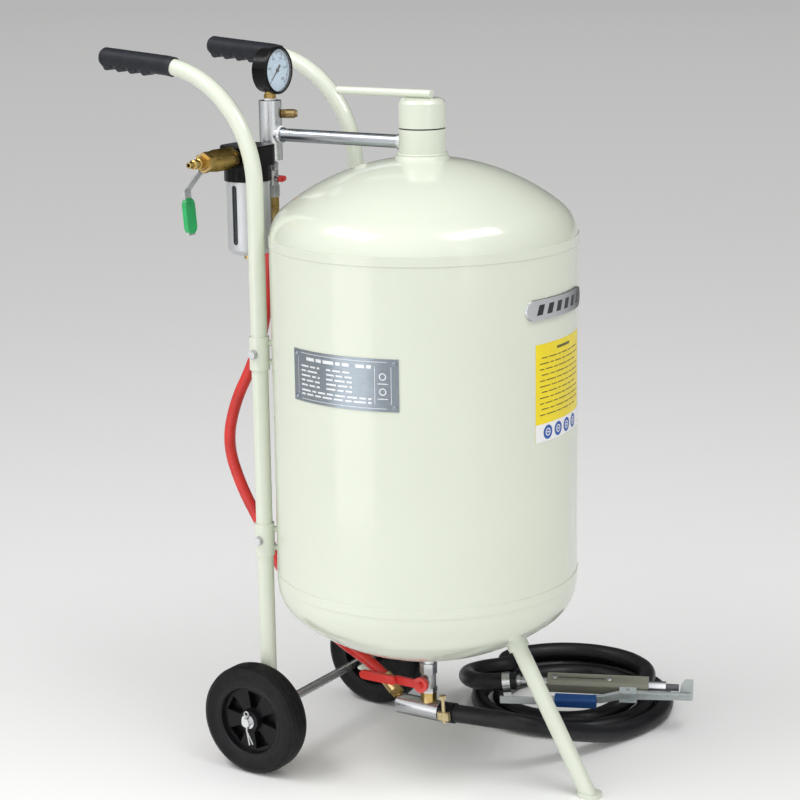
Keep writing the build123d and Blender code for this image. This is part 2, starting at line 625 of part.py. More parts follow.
# ---------------------------------------------------------------- outlet under the pot
def make_outlet():
    z, r = outlet_valve_z, outlet_body_r
    nipples.append(pipe((0, 0, z + 17), (0, 0, bottom_z + 16), outlet_r - glue_gap, 6.0))
    body = hex_bar((0, 0, z + 11), (0, 0, z + 26), 2 * r) + hex_bar((0, 0, z - 15), (0, 0, z - 8), 2 * r)
    body += rod((0, 0, z - 14), (0, 0, z + 14), r)
    body += rod((0, 0, z), (-16, 0, z), 6.5)
    body -= rod((0, 0, z + 17), (0, 0, z + 30), outlet_r)
    body -= rod((0, 0, z - 16), (0, 0, z - 9), 7.5)
    body -= rod((0, 0, z - 17), (0, 0, z + 21), 6.0)
    body -= Pos(0, 0, z) * Sphere(8.6)
    body -= rod((0, 0, z), (-20, 0, z), 3.06)
    add("metering_valve", body)
    ball = Pos(0, 0, z) * Sphere(8.3)
    ball -= rod((0, -14, z), (0, 14, z), 4.5)
    ball += rod((-6.5, 0, z), (-23, 0, z), 3.0)
    add("metering_ball", ball)
    face_x = -16.6
    inner = Plane(origin=(face_x, 0, z), x_dir=(0, 1, 0), z_dir=(-1, 0, 0))
    outer = Plane(origin=(face_x - 4, 0, z), x_dir=(0, 1, 0), z_dir=(-1, 0, 0))
    lever = extrude(inner * Circle(10.5), 6)
    lever += extrude(inner * Pos(20, 0) * Rectangle(40, 11), 5)
    lever += extrude(outer * Pos(66, 0) * RectangleRounded(58, 12, 5.9), 6)
    lever -= rod((-10, 0, z), (-24, 0, z), 3.0)
    bolt = hex_bar((-22.6, 0, z), (-26.5, 0, z), 9) + rod((-26.5, 0, z), (-27.3, 0, z), 2.6)
    bolt -= rod((-20, 0, z), (-23, 0, z), 3.0)
    add("metering_lever", lever + bolt)

    low = z - 15
    tube_body = rod((0, mixing_rear_y, mixing_z), (0, mixing_front_y - 30, mixing_z), mixing_r)
    fitting = hex_bar((0, 0, mixing_z + mixing_r - 3), (0, 0, low - 0.1), 19)
    fitting += rod((0, 0, low - 1), (0, 0, low + 5.5), 7.5)
    fitting -= tube_body
    fitting += rod((0, 0, mixing_z + mixing_r - 5), (0, 0, low), 7.5)
    fitting -= rod((0, 0, mixing_z), (0, 0, low + 9), 4.5)

    length = mixing_rear_y - mixing_front_y
    mixing = lathe([(0, 0), (mixing_r - 4, 0), (mixing_r, 4), (mixing_r, length), (8.4, length),
                    (8.4, length + 3), (6.4, length + 5), (6.4, length + 9), (8.0, length + 10),
                    (6.4, length + 17), (7.6, length + 18), (6.4, length + 25), (0, length + 25)],
                   (0, mixing_rear_y, mixing_z), (0, -1, 0))
    mixing -= rod((0, mixing_rear_y - 5, mixing_z), (0, mixing_front_y - 26, mixing_z), 5.0)
    mixing -= rod((0, mixing_rear_y - 8, mixing_z), (0, mixing_front_y + 4, mixing_z), 8.5)
    mixing -= rod((0, 0, mixing_z + mixing_r - 6), (0, 0, mixing_z + 40), 7.5)
    rise = radians(air_entry_deg)
    up = Vector(0, cos(rise), sin(rise))
    entry = Vector(0, mixing_rear_y - 10, mixing_z + 4)
    mixing -= rod(entry, (entry + up * 30), 6.0)
    add("mixing_tube", mixing)
    elbow = hex_bar((entry + up * 11), (entry + up * 21), 16) - tube_body
    elbow += rod((entry + up * 5), (entry + up * 14), 6.0)
    ferrule = entry + up * 20
    elbow += pipe(ferrule, (ferrule + up * 24), air_hose_r + 1.6, air_hose_r)
    elbow += pipe(ferrule, (ferrule + up * 2), air_hose_r + 1.6, 2.0)
    elbow -= rod(entry, (entry + up * 23), 2.5)
    brass.extend([fitting, elbow])
    return ferrule + up * 2, up


# ---------------------------------------------------------------- hoses
def route_wire(points):
    """Straight runs joined by tangent arcs; each arc is as large as its two runs allow."""
    pts = [Vector(*p) for p in points]
    radii = []
    for a, b, c in zip(pts, pts[1:], pts[2:]):
        turn = radians((b - a).get_angle(c - b))
        shorter = min((b - a).length, (c - b).length)
        radii.append(0.45 * shorter / tan(turn / 2))
    return FilletPolyline(*pts, radius=radii), radii


def hose(name, points, radius):
    wire, radii = route_wire(points)
    section = Plane(origin=wire @ 0, z_dir=wire % 0) * Circle(radius)
    solid = sweep(section, path=wire)
    share = solid.volume / (pi * radius ** 2 * wire.length)
    print(name, "length", round(wire.length, 1), "volume over section times length", round(share, 4))
    print("    radii", [round(r) for r in radii])
    add(name, solid)


def make_air_hose(start_z, end, up):
    """Red hose from the bleed valve, bulging behind the handles and back under the pot."""
    y = manifold_y
    points = [(0, y, start_z), (0, y + 10, start_z - 80), (-1, y + 18, start_z - 152),
              (-3, y + 40, start_z - 212), (-5, y + 70, start_z - 266), (-5, y + 86, start_z - 328),
              (-3, y + 66, start_z - 388), (-1, y + 32, start_z - 444), (0, y + 6, start_z - 496),
              (0, y - 34, start_z - 549), (0, y - 94, start_z - 590), end + up * 36, end]
    hose("air_hose", points, air_hose_r)


def make_blast_hose():
    """Lead to the coil, the coil's outer shape, and the tail that climbs off it to the gun."""
    hose("blast_hose", blast_lead, blast_hose_r)
    ring = pipe((coil_x, coil_y, 0.2), (coil_x, coil_y, coil_high), coil_outer, coil_inner)
    ring = fillet(ring.edges().filter_by(GeomType.CIRCLE), 10)
    add("hose_coil", ring)
    hose("hose_tail", blast_tail + [gun_tail], blast_hose_r)


def make_clamps():
    """T-bolt clamp where the blast hose leaves the mixing tube."""
    start, after = Vector(*blast_lead[0]), Vector(*blast_lead[1])
    along = (after - start).normalized()
    up = Vector(-1, 0, 0).cross(along)
    r = blast_hose_r
    base = Plane(origin=start + along * 4, x_dir=(-1, 0, 0), z_dir=along)
    band = extrude(base * Circle(r + 1.6), 17) - extrude(base * Circle(r), 17)
    saddle = extrude(base * Pos(r + 2.6, 0) * Rectangle(8.4, 11), 17) - extrude(base * Circle(r + 1.0), 17)
    bolt_base = start + along * 12.5 + Vector(-(r + 3.4), 0, 0)
    bolt = rod((bolt_base - up * 10), (bolt_base + up * 24), 2.5)
    saddle -= rod((bolt_base - up * 30), (bolt_base + up * 30), 2.5)
    bolt += hex_bar((bolt_base + up * 24), (bolt_base + up * 29), 9)
    add("hose_clamp", band + saddle, bolt)


# ---------------------------------------------------------------- gun
def make_gun():
    heading, roll = radians(gun_heading_deg), radians(gun_roll_deg)
    ahead = Vector(sin(heading), -cos(heading), 0)
    side = Vector(-cos(heading), -sin(heading), 0)          # towards the lever, before the roll
    lean = side * cos(roll) - Vector(0, 0, sin(roll))
    tail = Vector(*gun_tail)
    frame = Plane(origin=tail, x_dir=ahead, z_dir=ahead.cross(lean))

    def put(shape):
        return frame * shape

    def bar(x0, x1, y0, y1, z0, z1):
        return box_between((x0, y0, z0), (x1, y1, z1))

    def along(x0, x1, radius, y=0.0):
        return rod((x0, y, 0), (x1, y, 0), radius)

    def across(x, y, z0, z1, radius):
        return rod((x, y, z0), (x, y, z1), radius)

    body = bar(body_rear, body_front, -12, 12, -11, 11)
    body = chamfer(body.edges().filter_by(Axis.X), 3.5)
    body -= bar(body_rear + 16, body_front - 62, -1.1, 1.1, -12, -11 + 1.6)
    for z in (ear_gap, -ear_gap - ear_thick):
        body += bar(lever_pivot_x - 12, lever_pivot_x + 12, 8, 24, z, z + ear_thick)
    body -= along(body_rear - 1, body_front + 1, 7.0)
    body -= across(lever_pivot_x, lever_pivot_y, -12, 12, pivot_pin_r)
    upper = body & bar(0, 400, -40, 40, 0, 40)
    lower = body & bar(0, 400, -40, 40, -40, 0)
    add("gun_body", put(upper), put(lower))
    stem = along(-barb_length, body_rear + 20, 7.0) - along(-barb_length - 1, body_rear + 21, 5.0)
    stem += along(1.0, 5.0, 9.0) - along(0, 6, 7.0)
    add("gun_stem", put(stem))
    holder = along(body_front - 16, body_front, 7.0) + along(body_front, body_front + 24, 8.0)
    holder -= along(body_front - 17, body_front + 25, 5.0)
    add("nozzle_holder", put(holder))
    nozzle = along(body_front - 4, nozzle_tip, 5.0) - along(body_front - 5, nozzle_tip + 1, 1.6)
    add("nozzle", put(nozzle))

    pivot = (lever_pivot_x, lever_pivot_y)
    strip = [(lever_rear, 39), (45, 38), (lever_pivot_x - 35, 30), (lever_pivot_x - 12, 22),
             (lever_pivot_x + 30, 19.5), (plate_x + 4, 17.5)]
    inner = [(x, y - 2.0) for x, y in reversed(strip)]
    web = extrude(make_face(Polyline(*(strip + inner), close=True)), lever_half, both=True)
    flange_line = [(45, 37.8), (lever_pivot_x - 35, 30), (lever_pivot_x - 12, 22),
                   (lever_pivot_x + 30, 19.5), (plate_x, 17.7)]
    flange_in = [(plate_x, 13.0), (lever_pivot_x + 30, 13.5), (lever_pivot_x + 6, 12.5),
                 (lever_pivot_x - 8, 13.7), (lever_pivot_x - 35, 24.0), (45, 31.8)]
    cheek = make_face(Polyline(*(flange_line + flange_in), close=True))
    cheeks = extrude(cheek, 5.0, both=True) - extrude(cheek, 3.4, both=True)
    lever = web + cheeks
    lever += bar(plate_x, plate_x + 4, -11, 17.4, -lever_half, lever_half)
    outline = [(230, 15), (231, -1), (237, -11), (plate_x + 2, -11), (plate_x + 2, 15)]
    wing = make_face(Polyline(*outline, close=True))
    lever += extrude(wing, lever_half, both=True) - extrude(wing, lever_half - 1.5, both=True)
    lever -= across(*pivot, -12, 12, pivot_pin_r + running_gap)
    add("gun_lever", put(lever))
    pad = bar(plate_x - 6, plate_x, -6, 6, -4.9, 4.9)
    add("nozzle_pad", put(pad))
    sleeve = bar(57, 115, 27.0, 41.5, -8.5, 8.5)
    sleeve = fillet(sleeve.edges().filter_by(Axis.X), 3.5)
    sleeve -= lever
    add("gun_lever_sleeve", put(sleeve))
    ear_face = ear_gap + ear_thick
    pin = across(*pivot, -ear_face, ear_face, pivot_pin_r) + across(*pivot, ear_face, ear_face + 1.6, 4.0)
    add("gun_pivot_pin", put(pin))
    before = Vector(*blast_tail[-1])
    run = (before - tail).normalized()
    clamp = pipe(tail + run * 9, tail + run * 20, blast_hose_r + 1.2, blast_hose_r)
    screw = Box(16, 6, 11, align=(Align.CENTER, Align.CENTER, Align.MIN))
    housing = plane(tail + run * 9, run) * Pos(0, blast_hose_r + 4, 0) * screw
    clamp += housing - rod(tail, tail + run * 30, blast_hose_r + 0.8)
    add("gun_hose_clamp", clamp)


make_tank()
make_cap()
make_handles()
make_leg()
make_wheels()
make_plates()
make_manifold()
hose_top = make_bleed_valve()
make_filter()
make_inlet()
hose_end, hose_up = make_outlet()
make_air_hose(hose_top, hose_end, hose_up)
make_blast_hose()
make_clamps()
make_gun()
add("fixings", *fixings)
add("brass_fittings", *brass)
add("pipe_nipples", *nipples)

for name, shape in pieces.items():
    export_step(Pos(0, stand_shift, 0) * shape, f"parts/{name}.step")
print(len(pieces), "nodes; top of pot", round(top_z, 1), "bottom", round(bottom_z, 1))
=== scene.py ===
"""Looks of the pressure-pot abrasive blaster: materials, prints, hoses, camera and studio.

Metres, +Z up, floor at z = 0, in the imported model's frame. POT moves points given from the pot's
axis, as in the part's own source, into that frame.
"""
import bmesh
import bpy
from math import cos, pi, radians, sin, tau
from mathutils import Matrix, Vector


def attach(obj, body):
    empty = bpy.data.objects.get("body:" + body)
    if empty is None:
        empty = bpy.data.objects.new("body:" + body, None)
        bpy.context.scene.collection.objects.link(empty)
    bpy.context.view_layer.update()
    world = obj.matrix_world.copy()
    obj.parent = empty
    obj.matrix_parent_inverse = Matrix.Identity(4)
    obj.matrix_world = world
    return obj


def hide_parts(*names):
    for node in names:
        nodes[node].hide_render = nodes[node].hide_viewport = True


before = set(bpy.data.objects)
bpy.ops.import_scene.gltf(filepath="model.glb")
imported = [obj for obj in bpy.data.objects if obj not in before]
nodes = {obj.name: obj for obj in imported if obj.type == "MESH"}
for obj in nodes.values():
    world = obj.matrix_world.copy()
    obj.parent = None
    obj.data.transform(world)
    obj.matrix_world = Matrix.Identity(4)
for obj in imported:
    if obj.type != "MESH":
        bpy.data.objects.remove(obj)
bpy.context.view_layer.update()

POT = Vector((0, -0.084, 0))


# ---------------------------------------------------------------- camera
CAMERA_AT = POT + Vector((-2.3638, -1.4647, 1.158))
CAMERA_AZIMUTH = -57.53
CAMERA_PITCH = 13.23
CAMERA_ROLL = -0.82
LENS_MM = 97.73
FAR_CLIP = 50.0


def make_camera():
    """The camera looks along its azimuth and down its pitch, and is turned by a small roll."""
    a, p, r = radians(CAMERA_AZIMUTH), radians(CAMERA_PITCH), radians(CAMERA_ROLL)
    forward = Vector((-sin(a) * cos(p), cos(a) * cos(p), -sin(p)))
    level = Vector((cos(a), sin(a), 0))
    rise = level.cross(forward)
    right = level * cos(r) + rise * sin(r)
    up = rise * cos(r) - level * sin(r)
    data = bpy.data.cameras.new("camera")
    data.lens = LENS_MM
    data.clip_end = FAR_CLIP
    camera = bpy.data.objects.new("camera", data)
    camera.matrix_world = Matrix((right, up, -forward)).transposed().to_4x4()
    camera.location = CAMERA_AT
    bpy.context.scene.collection.objects.link(camera)
    bpy.context.scene.camera = camera


# ---------------------------------------------------------------- hoses
AIR_HOSE_DIAMETER = 0.016
BLAST_HOSE_DIAMETER = 0.0246

COIL_CENTRE = POT + Vector((0.270, -0.070, 0))
COIL_START = 250                        # degrees, counter-clockwise from +X
COIL_CLIMB = COIL_START + 720
COIL_END = COIL_CLIMB + 185
OUTER_TURN = (0.146, 0.025)             # radius at its start, and what it loses in a turn
INNER_TURN = (0.121, 0.036)
CLIMB_TURN = (0.085, 0.049)             # radius at its start, and what it gains
ON_FLOOR = 0.0125                       # height of the hose's middle where it lies on the floor
CLIMB_HEIGHT = 0.0242
CLIMB_SPAN = 90                         # degrees over which the last turn moves outwards
POINTS_PER_TURN = 16


def add_object(name, data):
    """A new visible piece that rides on the stand."""
    piece = bpy.data.objects.new(name, data)
    bpy.context.scene.collection.objects.link(piece)
    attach(piece, "stand")
    return piece


def smooth_cord(name, points, diameter):
    """One open NURBS spline with the points as its control points."""
    curve = bpy.data.curves.new(name, "CURVE")
    curve.dimensions = "3D"
    curve.bevel_depth = 1
    curve.bevel_resolution = 8
    curve.resolution_u = 12
    curve.use_fill_caps = True
    spline = curve.splines.new("NURBS")
    spline.points.add(len(points) - 1)
    for place, point in zip(spline.points, points):
        place.co = (*point, 1)
        place.radius = diameter / 2
    spline.order_u = 3
    spline.use_endpoint_u = True
    return add_object(name, curve)


def make_air_hose():
    """Red hose from under the manifold, bowed out behind the pot, to the mixing tube's branch."""
    route = [(0, 0.238, 0.734), (0, 0.248, 0.654), (-0.001, 0.256, 0.582),
             (-0.003, 0.278, 0.522), (-0.005, 0.308, 0.468), (-0.005, 0.324, 0.406),
             (-0.003, 0.304, 0.346), (-0.001, 0.270, 0.290), (0, 0.244, 0.238),
             (0, 0.204, 0.185), (0, 0.144, 0.144), (0, 0.0810, 0.1175), (0, 0.0556, 0.0921)]
    points = [POT + Vector(p) for p in route]
    piece = smooth_cord("air_line", points, AIR_HOSE_DIAMETER)
    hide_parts("air_hose")
    return piece


def coil_turns():
    """Two turns on the floor, wound inwards, and half a turn that climbs over them."""
    points = []
    steps = round((COIL_END - COIL_START) / 360 * POINTS_PER_TURN)
    for step in range(steps + 1):
        angle = COIL_START + (COIL_END - COIL_START) * step / steps
        turns = (angle - COIL_START) / 360
        height = ON_FLOOR
        if turns <= 1:
            radius = OUTER_TURN[0] - OUTER_TURN[1] * turns
        elif angle <= COIL_CLIMB:
            radius = INNER_TURN[0] - INNER_TURN[1] * (turns - 1)
        else:
            share = min((angle - COIL_CLIMB) / CLIMB_SPAN, 1)
            radius = CLIMB_TURN[0] + CLIMB_TURN[1] * share * share * (3 - 2 * share)
            height += CLIMB_HEIGHT * min(2 * share, 1)
        a = radians(angle)
        points.append(COIL_CENTRE + Vector((radius * cos(a), radius * sin(a), height)))
    return points


def make_blast_hose():
    """Black hose out of the mixing tube, round the coil on the floor and up to the gun."""
    lead = [(0, -0.021, 0.0725), (0, -0.072, 0.076), (0.020, -0.126, 0.071), (0.060, -0.158, 0.053),
            (0.116, -0.178, 0.032), (0.174, -0.192, 0.0145)]
    tail = [(0.300, 0.036, 0.034), (0.262, 0.064, 0.036), (0.218, 0.070, 0.041),
            (0.177, 0.042, 0.050), (0.155, -0.001, 0.059), (0.173, -0.040, 0.064)]
    points = [POT + Vector(p) for p in lead] + coil_turns() + [POT + Vector(p) for p in tail]
    piece = smooth_cord("blast_line", points, BLAST_HOSE_DIAMETER)
    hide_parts("blast_hose", "hose_coil", "hose_tail")
    return piece


# ---------------------------------------------------------------- the gun's own frame
GUN_TAIL = POT + Vector((0.173, -0.040, 0.064))
GUN_HEADING = radians(23)
GUN_ROLL = radians(25)
AHEAD = Vector((sin(GUN_HEADING), -cos(GUN_HEADING), 0))
LEAN = Vector((-cos(GUN_HEADING) * cos(GUN_ROLL), -sin(GUN_HEADING) * cos(GUN_ROLL),
               -sin(GUN_ROLL)))
GUN_UNDER = AHEAD.cross(LEAN)


def on_gun(x, y, z):
    """Point of the gun: x ahead of the hose's end, y towards the lever, z below the gun."""
    return GUN_TAIL + AHEAD * x + LEAN * y + GUN_UNDER * z


# ---------------------------------------------------------------- materials
def mix_colour(tree, factor, low, high):
    """Mix of two colours, each a tuple or an output, by a factor output."""
    mix = tree.nodes.new("ShaderNodeMix")
    mix.data_type = "RGBA"
    tree.links.new(factor, mix.inputs["Factor"])
    for value, socket in ((low, mix.inputs[6]), (high, mix.inputs[7])):
        if isinstance(value, tuple):
            socket.default_value = (*value, 1)
        else:
            tree.links.new(value, socket)
    return mix.outputs[2]


def spread(tree, value, low, high, from_low=0.3, from_high=0.7):
    """A value mapped from one range to another; noise keeps to about 0.3 to 0.7."""
    node = tree.nodes.new("ShaderNodeMapRange")
    node.inputs["From Min"].default_value = from_low
    node.inputs["From Max"].default_value = from_high
    node.inputs["To Min"].default_value = low
    node.inputs["To Max"].default_value = high
    tree.links.new(value, node.inputs["Value"])
    return node.outputs["Result"]


def noise(tree, scale, detail=3.0, stretch=(1, 1, 1)):
    """Noise over the object's own coordinates; scale is cells per metre."""
    place = tree.nodes.new("ShaderNodeTexCoord")
    mapping = tree.nodes.new("ShaderNodeMapping")
    mapping.inputs["Scale"].default_value = stretch
    tree.links.new(place.outputs["Object"], mapping.inputs["Vector"])
    node = tree.nodes.new("ShaderNodeTexNoise")
    node.inputs["Scale"].default_value = scale
    node.inputs["Detail"].default_value = detail
    tree.links.new(mapping.outputs["Vector"], node.inputs["Vector"])
    return node.outputs["Fac"]


def position_along(tree, coordinates, direction):
    """How far a point lies along a direction."""
    place = tree.nodes.new("ShaderNodeTexCoord")
    product = tree.nodes.new("ShaderNodeVectorMath")
    product.operation = "DOT_PRODUCT"
    product.inputs[1].default_value = direction
    tree.links.new(place.outputs[coordinates], product.inputs[0])
    return product.outputs["Value"]


EDGE_START = 0.53       # pointiness where wear begins
EDGE_FULL = 0.62


def edge_mask(tree):
    """White on convex edges, where finish rubs thin."""
    geometry = tree.nodes.new("ShaderNodeNewGeometry")
    return spread(tree, geometry.outputs["Pointiness"], 0.0, 1.0, EDGE_START, EDGE_FULL)


COAT_ROUGHNESS = 0.06


def surface(name, colour, roughness, metallic=0.0, mottle=0.08, mottle_scale=14,
            shine_spread=0.06, shine_scale=60, bump=0.15, bump_scale=700, bump_depth=0.0002,
            stretch=(1, 1, 1), worn=None, coat=0.0, specular=0.5, opacity=1.0, rim=1.0):
    """Painted, moulded or machined surface: tint, shine and relief each vary by their own noise.

    mottle and shine_spread are how far tint and roughness vary; worn is the colour of rubbed
    edges, and rim tints the reflection at a glancing angle.
    """
    material = bpy.data.materials.new(name)
    material.use_nodes = True
    tree = material.node_tree
    shader = tree.nodes["Principled BSDF"]
    shader.inputs["Metallic"].default_value = metallic
    shader.inputs["Specular IOR Level"].default_value = specular
    shader.inputs["Alpha"].default_value = opacity
    shader.inputs["Coat Weight"].default_value = coat
    shader.inputs["Coat Roughness"].default_value = COAT_ROUGHNESS
    shader.inputs["Specular Tint"].default_value = (rim, rim, rim, 1)
    dark = tuple(c * (1 - mottle) for c in colour)
    light = tuple(min(c * (1 + mottle), 1.0) for c in colour)
    tint = mix_colour(tree, spread(tree, noise(tree, mottle_scale, 5, stretch), 0, 1), dark, light)
    if worn:
        tint = mix_colour(tree, edge_mask(tree), tint, worn)
    tree.links.new(tint, shader.inputs["Base Color"])
    shine = spread(tree, noise(tree, shine_scale, 4, stretch),
                   roughness - shine_spread, roughness + shine_spread)
    tree.links.new(shine, shader.inputs["Roughness"])
    relief = tree.nodes.new("ShaderNodeBump")
    relief.inputs["Strength"].default_value = bump
    relief.inputs["Distance"].default_value = bump_depth
    tree.links.new(noise(tree, bump_scale, 2, stretch), relief.inputs["Height"])
    tree.links.new(relief.outputs["Normal"], shader.inputs["Normal"])
    return material


IVORY = (0.650, 0.688, 0.584)


def make_materials():
    """One material for each finish, and the nodes that wear it; returns the two used again."""
    ivory = surface("ivory_powder_coat", IVORY, 0.20, mottle=0.018, mottle_scale=5,
                    shine_spread=0.04, shine_scale=22, bump=0.08, bump_scale=260,
                    bump_depth=0.0003, coat=0.5)
    zinc = surface("zinc_plate", (0.46, 0.47, 0.48), 0.30, 1.0, rim=0.2, mottle=0.14,
                   mottle_scale=90, shine_spread=0.09, bump=0.2, bump_scale=900,
                   worn=(0.72, 0.73, 0.74))
    steel = surface("turned_steel", (0.44, 0.45, 0.47), 0.24, 1.0, rim=0.2, mottle=0.10,
                    mottle_scale=60, shine_scale=160, bump=0.12, bump_scale=1400,
                    stretch=(1, 0.1, 1), worn=(0.72, 0.73, 0.75))
    chrome = surface("bright_chrome", (0.47, 0.50, 0.535), 0.29, 1.0, mottle=0.05,
                     shine_spread=0.05, rim=0.12, bump=0.02, bump_scale=300,
                     worn=(0.72, 0.74, 0.76))
    brass = surface("turned_brass", (0.50, 0.34, 0.12), 0.28, 1.0, rim=0.25, mottle=0.16,
                    mottle_scale=70, shine_spread=0.08, bump=0.25, bump_scale=1400,
                    worn=(0.78, 0.60, 0.30))
    bronze = surface("dull_bronze", (0.20, 0.13, 0.05), 0.36, 1.0, rim=0.25, mottle=0.2,
                     mottle_scale=70, bump=0.25, bump_scale=1400, worn=(0.42, 0.30, 0.14))
    rubber = surface("grip_rubber", (0.014, 0.016, 0.021), 0.50, mottle=0.25, mottle_scale=80,
                     bump=0.45, bump_scale=900, worn=(0.026, 0.028, 0.034), specular=0.22)
    tyre = surface("tyre_rubber", (0.008, 0.008, 0.009), 0.46, mottle=0.3, mottle_scale=70,
                   shine_spread=0.10, bump=0.5, bump_scale=800, worn=(0.018, 0.018, 0.020),
                   specular=0.16)
    plastic = surface("hub_plastic", (0.005, 0.005, 0.006), 0.32, mottle=0.15, shine_spread=0.08,
                      bump=0.3, bump_scale=1500, worn=(0.012, 0.012, 0.014), specular=0.2)
    black_metal = surface("black_enamel", (0.0025, 0.0025, 0.003), 0.24, mottle=0.12, bump=0.15,
                          bump_scale=600, worn=(0.005, 0.005, 0.006), specular=0.16)
    silver = surface("silver_paint", (0.52, 0.53, 0.55), 0.34, 0.65, mottle=0.08, mottle_scale=50,
                     bump=0.2, bump_scale=1600, worn=(0.62, 0.63, 0.65))
    red = surface("red_vinyl", (0.62, 0.022, 0.018), 0.33, mottle=0.10, mottle_scale=40, bump=0.2,
                  bump_scale=700, worn=(0.70, 0.06, 0.05), coat=0.2)
    green = surface("green_vinyl", (0.012, 0.36, 0.10), 0.30, mottle=0.12, mottle_scale=60,
                    bump=0.2, bump_scale=500, worn=(0.10, 0.52, 0.22), coat=0.3)
    blue = surface("blue_vinyl", (0.001, 0.024, 0.125), 0.40, specular=0.25, mottle=0.14,
                   mottle_scale=60, bump=0.2, bump_scale=500, worn=(0.01, 0.05, 0.18))
    cast = surface("cast_alloy", (0.125, 0.13, 0.100), 0.50, specular=0.35, mottle=0.12,
                   mottle_scale=120, bump=0.5, bump_scale=1100, bump_depth=0.0004,
                   worn=(0.20, 0.20, 0.16))
    channel = surface("galvanised_sheet", (0.34, 0.38, 0.38), 0.36, 0.55, mottle=0.16,
                      mottle_scale=160, shine_spread=0.1, bump=0.2, bump_scale=900,
                      worn=(0.60, 0.64, 0.64))
    plate = surface("etched_plate", (0.30, 0.34, 0.38), 0.22, 1.0, mottle=0.10, mottle_scale=90,
                    shine_scale=300, bump=0.25, bump_scale=2600, stretch=(1, 1, 14))
    yellow = surface("yellow_film", (0.83, 0.66, 0.008), 0.34, mottle=0.05, mottle_scale=20,
                     bump=0.12, bump_scale=120)
    dial = surface("dial_card", (0.58, 0.72, 0.86), 0.45, mottle=0.05, mottle_scale=60, bump=0.1,
                   bump_scale=1500)
    needle = surface("needle_paint", (0.010, 0.010, 0.010), 0.35, mottle=0.1, bump=0.1)
    glass = surface("gauge_glass", (0.95, 0.97, 0.98), 0.05, mottle=0.01, shine_spread=0.02,
                    bump=0.02, bump_scale=30, opacity=0.07)
    bowl = surface("clear_bowl", (0.05, 0.055, 0.06), 0.14, mottle=0.10, bump=0.1, bump_scale=200,
                   opacity=0.8)
    element = surface("sintered_element", (0.70, 0.70, 0.66), 0.80, mottle=0.12, mottle_scale=500,
                      bump=0.8, bump_scale=1800)
    ceramic = surface("fired_ceramic", (0.045, 0.045, 0.050), 0.55, mottle=0.2, mottle_scale=300,
                      bump=0.4, bump_scale=1600, worn=(0.10, 0.10, 0.11))
    finishes = {
        ivory: ["tank_shell", "top_head", "bottom_head", "fill_neck", "fill_cap",
                "left_handle_tube", "right_handle_tube", "tube_sleeves", "front_leg"],
        zinc: ["axle", "fixings", "bleed_valve", "inlet_lever", "metering_valve", "pipe_nipples",
               "gun_hose_clamp", "gun_stem"],
        steel: ["metering_ball", "mixing_tube", "nozzle_holder", "gun_pivot_pin"],
        chrome: ["manifold", "feed_pipe", "badge", "inlet_ball"],
        bronze: ["relief_valve", "relief_stem"],
        brass: ["inlet_valve", "inlet_plug", "brass_fittings", "bowl_drain"],
        rubber: ["hand_grips", "cap_seal", "nozzle_pad"],
        tyre: ["left_tyre", "right_tyre"],
        plastic: ["left_hub", "right_hub"],
        black_metal: ["gauge_case", "filter_head"],
        silver: ["bowl_guard"],
        red: ["bleed_lever", "metering_lever"],
        green: ["inlet_lever_sleeve"],
        blue: ["gun_lever_sleeve"],
        cast: ["gun_body"],
        channel: ["gun_lever"],
        plate: ["data_plate"],
        yellow: ["caution_label"],
        dial: ["gauge_dial"],
        needle: ["gauge_needle"],
        glass: ["gauge_window"],
        bowl: ["filter_bowl"],
        element: ["filter_element"],
        ceramic: ["nozzle"],
        clamp_material(): ["hose_clamp"],
    }
    paint_ears(cast, (0.34, 0.38, 0.38))
    for material, names in finishes.items():
        for name in names:
            data = nodes[name].data
            data.materials.clear()
            data.materials.append(material)
    return ivory, zinc


CASTING_SIDE = 0.0121           # from the gun's axis to the casting's side face
SHARP_CHANGE = 0.0002
BAND_TOP, BOLT_START = -0.0130, -0.0136     # along X on the mixing tube's clamp


def paint_ears(material, colour):
    """The ears on the gun body are plain sheet, and stand out past the casting's side face."""
    tree = material.node_tree
    shader = tree.nodes["Principled BSDF"]
    face = GUN_TAIL.dot(LEAN) + CASTING_SIDE
    on_ear = spread(tree, position_along(tree, "Object", LEAN), 0, 1, face, face + SHARP_CHANGE)
    casting = shader.inputs["Base Color"].links[0].from_socket
    tree.links.new(mix_colour(tree, on_ear, casting, colour), shader.inputs["Base Color"])


def clamp_material():
    """Dark band under the bolt, yellow zinc on the bolt and its saddle, told apart by place."""
    material = surface("clamp_plating", (0.012, 0.012, 0.013), 0.38, 0.6, mottle=0.12,
                       mottle_scale=80, bump=0.2)
    tree = material.node_tree
    shader = tree.nodes["Principled BSDF"]
    along_x = position_along(tree, "Object", (1, 0, 0))
    on_bolt = spread(tree, along_x, 1.0, 0.0, BOLT_START, BAND_TOP)
    plating = mix_colour(tree, spread(tree, noise(tree, 90), 0, 1),
                         (0.46, 0.36, 0.18), (0.64, 0.54, 0.32))
    band = shader.inputs["Base Color"].links[0].from_socket
    tree.links.new(mix_colour(tree, on_bolt, band, plating), shader.inputs["Base Color"])
    return material


RUBBER_RELIEF = 0.0003


